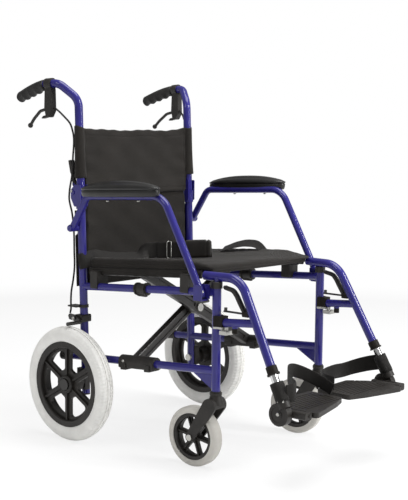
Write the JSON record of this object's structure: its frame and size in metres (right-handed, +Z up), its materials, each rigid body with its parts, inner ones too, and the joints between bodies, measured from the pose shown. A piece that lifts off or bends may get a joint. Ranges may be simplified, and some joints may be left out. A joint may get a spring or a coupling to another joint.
{
  "type": "transport wheelchair",
  "caption": "Folding attendant-pushed wheelchair with small rear wheels, swing-away leg rests, padded arm rests, a cross-braced tube frame and hand brakes.",
  "frame": {"origin": "on the floor, under the middle of the chair's overall width and length", "axes": "+Z up, -Y is the front of the chair, +X is the occupant's left"},
  "size_m": [0.588, 0.9634, 0.9561],
  "materials": {
    "blue_paint": "gloss indigo",
    "black_paint": "satin black",
    "black_plastic": "fine grain",
    "light_tyre": "non-marking light grey",
    "grey_tyre": "non-marking grey",
    "zinc_steel": "zinc plated",
    "bright_chrome": "polished",
    "black_webbing": "woven webbing",
    "black_cloth": "woven nylon",
    "black_vinyl": "grained vinyl",
    "black_rubber": "moulded"
  },
  "bodies": {
    "right_frame": {"side_frame_right": "blue_paint", "frame_fittings_right": "black_plastic", "rear_axle_right": "zinc_steel", "seat": "black_cloth", "lower_back_sling": "black_cloth", "lap_belt": "black_webbing"},
    "left_frame": {"side_frame_left": "blue_paint", "frame_fittings_left": "black_plastic", "rear_axle_left": "zinc_steel"},
    "brace_a": {"cross_brace_a": "black_paint", "rail_clamp_right": "black_plastic", "brace_pivot_bolt": "zinc_steel"},
    "brace_b": {"cross_brace_b": "black_paint", "rail_clamp_left": "black_plastic"},
    "rear_wheel_right": {"rear_rim_right": "black_plastic", "rear_tyre_right": "light_tyre"},
    "castor_right": {"castor_fork_right": "black_plastic", "castor_axle_right": "zinc_steel"},
    "castor_wheel_right": {"castor_rim_right": "black_plastic", "castor_tyre_right": "grey_tyre"},
    "leg_rest_right": {"leg_hanger_right": "blue_paint"},
    "latch_right": {"latch_lever_right": "black_paint"},
    "extension_right": {"extension_tube_right": "bright_chrome", "footrest_hub_right": "black_plastic"},
    "footplate_body_right": {"footplate_right": "black_plastic", "heel_strap_right": "black_webbing"},
    "arm_rest_right": {"arm_tube_right": "blue_paint", "arm_pad_right": "black_vinyl"},
    "back_right": {"back_cane_right": "blue_paint", "push_grip_right": "black_rubber", "brake_bracket_right": "black_plastic", "brake_cable_right": "black_rubber", "upper_back_sling": "black_cloth"},
    "back_release_right": {"back_release_lever_right": "black_plastic"},
    "brake_lever_body_right": {"brake_lever_right": "black_plastic"},
    "park_latch_body_right": {"park_latch_right": "black_plastic"},
    "brake_arm_body_right": {"brake_arm_right": "black_paint"},
    "rear_wheel_left": {"rear_rim_left": "black_plastic", "rear_tyre_left": "light_tyre"},
    "castor_left": {"castor_fork_left": "black_plastic", "castor_axle_left": "zinc_steel"},
    "castor_wheel_left": {"castor_rim_left": "black_plastic", "castor_tyre_left": "grey_tyre"},
    "leg_rest_left": {"leg_hanger_left": "blue_paint"},
    "latch_left": {"latch_lever_left": "black_paint"},
    "extension_left": {"extension_tube_left": "bright_chrome", "footrest_hub_left": "black_plastic"},
    "footplate_body_left": {"footplate_left": "black_plastic", "heel_strap_left": "black_webbing"},
    "arm_rest_left": {"arm_tube_left": "blue_paint", "arm_pad_left": "black_vinyl"},
    "back_left": {"back_cane_left": "blue_paint", "push_grip_left": "black_rubber", "brake_bracket_left": "black_plastic", "brake_cable_left": "black_rubber"},
    "back_release_left": {"back_release_lever_left": "black_plastic"},
    "brake_lever_body_left": {"brake_lever_left": "black_plastic"},
    "park_latch_body_left": {"park_latch_left": "black_plastic"},
    "brake_arm_body_left": {"brake_arm_left": "black_paint"}
  },
  "joints": [
    {"name": "fold", "type": "hinge", "parent": "right_frame", "child": "brace_a", "pos_m": [-0.214, 0.055, 0.22893], "axis": [0, -0.9978, 0.0663], "range_deg": [0, 38], "deforming": ["seat", "lower_back_sling", "upper_back_sling", "lap_belt"]},
    {"name": "scissor", "type": "hinge", "parent": "brace_a", "child": "brace_b", "pos_m": [0, 0.06292, 0.34812], "axis": [0, -0.9978, 0.0663], "range_deg": [-76, 0]},
    {"name": "fold_left", "type": "hinge", "parent": "brace_b", "child": "left_frame", "pos_m": [0.214, 0.055, 0.22893], "axis": [0, -0.9978, 0.0663], "range_deg": [0, 38]},
    {"name": "rear_wheel_right_spin", "type": "hinge", "parent": "right_frame", "child": "rear_wheel_right", "pos_m": [-0.2705, 0.255, 0.1525], "axis": [1, 0, 0], "continuous": true},
    {"name": "castor_right_swivel", "type": "hinge", "parent": "right_frame", "child": "castor_right", "pos_m": [-0.214, -0.202, 0.2], "axis": [0, 0, 1], "continuous": true},
    {"name": "castor_right_spin", "type": "hinge", "parent": "castor_right", "child": "castor_wheel_right", "pos_m": [-0.21724, -0.14008, 0.075], "axis": [0.9986, 0.0523, 0], "continuous": true},
    {"name": "leg_rest_right_swing", "type": "hinge", "parent": "right_frame", "child": "leg_rest_right", "pos_m": [-0.214, -0.202, 0.44], "axis": [0, 0, -1], "range_deg": [0, 90]},
    {"name": "latch_right_squeeze", "type": "hinge", "parent": "leg_rest_right", "child": "latch_right", "pos_m": [-0.20756, -0.28536, 0.393], "axis": [1, 0, 0], "range_deg": [0, 6]},
    {"name": "extension_right_slide", "type": "slide", "parent": "leg_rest_right", "child": "extension_right", "axis": [-0.0708, -0.4791, -0.8749], "range_m": [0, 0.06]},
    {"name": "footplate_right_flip", "type": "hinge", "parent": "extension_right", "child": "footplate_body_right", "pos_m": [-0.198, -0.427, 0.178], "axis": [0, -1, 0], "range_deg": [0, 85.5], "deforming": ["heel_strap_right"]},
    {"name": "arm_rest_right_flip", "type": "hinge", "parent": "right_frame", "child": "arm_rest_right", "pos_m": [-0.24, 0.277, 0.562], "axis": [-1, 0, 0], "range_deg": [0, 60]},
    {"name": "back_right_fold", "type": "hinge", "parent": "right_frame", "child": "back_right", "pos_m": [-0.214, 0.2893, 0.6555], "axis": [-1, 0, 0], "range_deg": [0, 105], "deforming": ["brake_cable_right"]},
    {"name": "back_release_right_press", "type": "hinge", "parent": "back_right", "child": "back_release_right", "pos_m": [-0.217, 0.2923, 0.677], "axis": [-1, 0, 0], "range_deg": [0, 15]},
    {"name": "brake_lever_right_pull", "type": "hinge", "parent": "back_right", "child": "brake_lever_body_right", "pos_m": [-0.25, 0.359, 0.876], "axis": [1, 0, 0], "range_deg": [0, 22]},
    {"name": "park_latch_right_set", "type": "hinge", "parent": "back_right", "child": "park_latch_body_right", "pos_m": [-0.25, 0.356, 0.857], "axis": [1, 0, 0], "range_deg": [0, 12]},
    {"name": "brake_arm_right_press", "type": "hinge", "parent": "right_frame", "child": "brake_arm_body_right", "pos_m": [-0.238, 0.271, 0.322], "axis": [1, 0, 0], "range_deg": [0, 8]},
    {"name": "rear_wheel_left_spin", "type": "hinge", "parent": "left_frame", "child": "rear_wheel_left", "pos_m": [0.2705, 0.255, 0.1525], "axis": [1, 0, 0], "continuous": true},
    {"name": "castor_left_swivel", "type": "hinge", "parent": "left_frame", "child": "castor_left", "pos_m": [0.214, -0.202, 0.2], "axis": [0, 0, 1], "continuous": true},
    {"name": "castor_left_spin", "type": "hinge", "parent": "castor_left", "child": "castor_wheel_left", "pos_m": [0.20323, -0.14094, 0.075], "axis": [0.9848, 0.1736, 0], "continuous": true},
    {"name": "leg_rest_left_swing", "type": "hinge", "parent": "left_frame", "child": "leg_rest_left", "pos_m": [0.214, -0.202, 0.44], "axis": [0, 0, 1], "range_deg": [0, 90]},
    {"name": "latch_left_squeeze", "type": "hinge", "parent": "leg_rest_left", "child": "latch_left", "pos_m": [0.20756, -0.28536, 0.393], "axis": [1, 0, 0], "range_deg": [0, 6]},
    {"name": "extension_left_slide", "type": "slide", "parent": "leg_rest_left", "child": "extension_left", "axis": [0.0708, -0.4791, -0.8749], "range_m": [0, 0.06]},
    {"name": "footplate_left_flip", "type": "hinge", "parent": "extension_left", "child": "footplate_body_left", "pos_m": [0.198, -0.427, 0.178], "axis": [0, 1, 0], "range_deg": [0, 85.5], "deforming": ["heel_strap_left"]},
    {"name": "arm_rest_left_flip", "type": "hinge", "parent": "left_frame", "child": "arm_rest_left", "pos_m": [0.24, 0.277, 0.562], "axis": [-1, 0, 0], "range_deg": [0, 60]},
    {"name": "back_left_fold", "type": "hinge", "parent": "left_frame", "child": "back_left", "pos_m": [0.214, 0.2893, 0.6555], "axis": [-1, 0, 0], "range_deg": [0, 105], "deforming": ["brake_cable_left"]},
    {"name": "back_release_left_press", "type": "hinge", "parent": "back_left", "child": "back_release_left", "pos_m": [0.217, 0.2923, 0.677], "axis": [-1, 0, 0], "range_deg": [0, 15]},
    {"name": "brake_lever_left_pull", "type": "hinge", "parent": "back_left", "child": "brake_lever_body_left", "pos_m": [0.25, 0.359, 0.876], "axis": [1, 0, 0], "range_deg": [0, 22]},
    {"name": "park_latch_left_set", "type": "hinge", "parent": "back_left", "child": "park_latch_body_left", "pos_m": [0.25, 0.356, 0.857], "axis": [1, 0, 0], "range_deg": [0, 12]},
    {"name": "brake_arm_left_press", "type": "hinge", "parent": "left_frame", "child": "brake_arm_body_left", "pos_m": [0.238, 0.271, 0.322], "axis": [1, 0, 0], "range_deg": [0, 8]}
  ],
  "couplings": [
    {"joint": "scissor", "follows": "fold", "ratio": -2},
    {"joint": "fold_left", "follows": "fold", "ratio": 1},
    {"joint": "footplate_right_flip", "follows": "fold", "ratio": 2.25},
    {"joint": "brake_arm_right_press", "follows": "brake_lever_right_pull", "ratio": 0.36364},
    {"joint": "footplate_left_flip", "follows": "fold", "ratio": 2.25},
    {"joint": "brake_arm_left_press", "follows": "brake_lever_left_pull", "ratio": 0.36364},
    {"joint": "back_left_fold", "follows": "back_right_fold", "ratio": 1}
  ]
}
